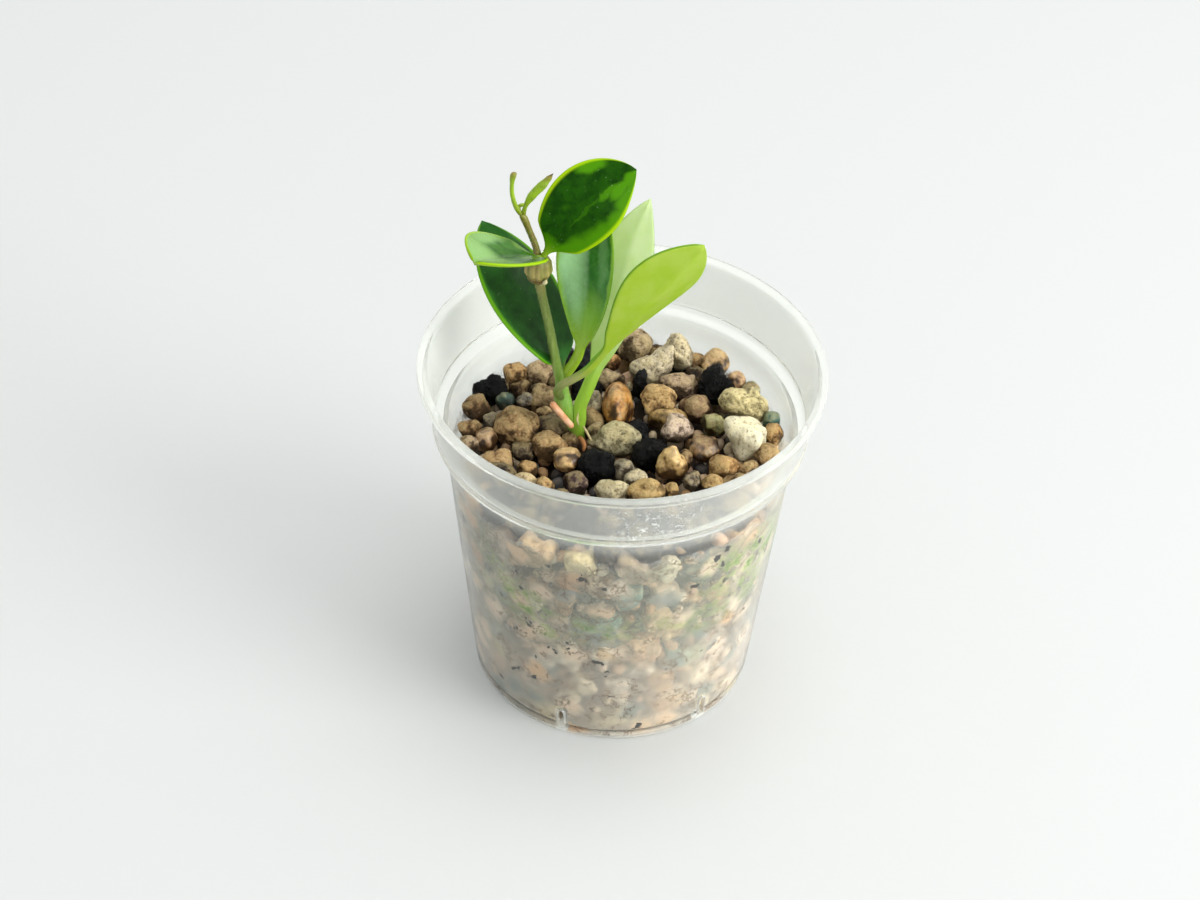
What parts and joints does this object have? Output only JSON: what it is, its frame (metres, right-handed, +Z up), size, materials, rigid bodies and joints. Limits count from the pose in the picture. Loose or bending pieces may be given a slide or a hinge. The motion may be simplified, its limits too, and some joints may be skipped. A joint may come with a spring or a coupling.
{
  "type": "potted hoya plant",
  "caption": "Young hoya cutting with broad glossy leaves on a leaning stem, standing in a gritty stone mix in a frosted clear nursery pot with a tapered collar.",
  "frame": {"origin": "centre of the pot's underside", "axes": "+Z up along the pot's axis; -Y is the side that the picture shows, with the stem leaning to -X"},
  "size_m": [0.08, 0.08, 0.1189],
  "materials": {
    "pot_plastic": "milky frosted polypropylene, glossy on the lip",
    "stem_green": "olive-green stem with fine hairs",
    "root_brown": "thin brown root, dry",
    "leaf_upper": "waxy dark green upper side",
    "leaf_underside": "satin yellow-green underside",
    "stone_tan": "rough tan gravel",
    "stone_brown": "rough brown gravel",
    "stone_orange": "smooth orange-tan pebble",
    "stone_grey": "pale grey pumice",
    "stone_pale": "cream-white pumice",
    "stone_cream": "pitted yellow-cream pumice",
    "stone_pink": "pinkish gravel",
    "stone_olive": "greenish-grey pitted stone",
    "stone_mix": "mixed gritty stones",
    "charcoal": "black horticultural charcoal with a dull sheen"
  },
  "bodies": {
    "root": {"pot": "pot_plastic", "stem": "stem_green", "shoot": "stem_green", "roots": "root_brown", "leaf_top_right": "leaf_upper", "leaf_top_left": "leaf_upper", "leaf_back_left": "leaf_upper", "leaf_centre": "leaf_upper", "leaf_right": "leaf_underside", "leaf_back_right": "leaf_underside", "stone_charcoal_left": "charcoal", "stone_tan_broad": "stone_tan", "stone_orange_left": "stone_orange", "stone_orange_front": "stone_orange", "stone_charcoal_front": "charcoal", "stone_olive_pitted": "stone_olive", "stone_orange_upright": "stone_orange", "stone_grey_back": "stone_brown", "stone_grey_forked": "stone_grey", "stone_pale_pitted": "stone_pale", "stone_tan_round": "stone_tan", "stone_pink_flat": "stone_pink", "stone_charcoal_right": "charcoal", "stone_tan_centre": "stone_tan", "stone_cream_pitted": "stone_cream", "stone_white_knuckle": "stone_pale", "stone_pink_pale": "stone_pink", "stone_brown_round": "stone_brown", "stone_charcoal_centre": "charcoal", "stone_orange_drop": "stone_orange", "stone_bed": "stone_mix"}
  },
  "joints": []
}
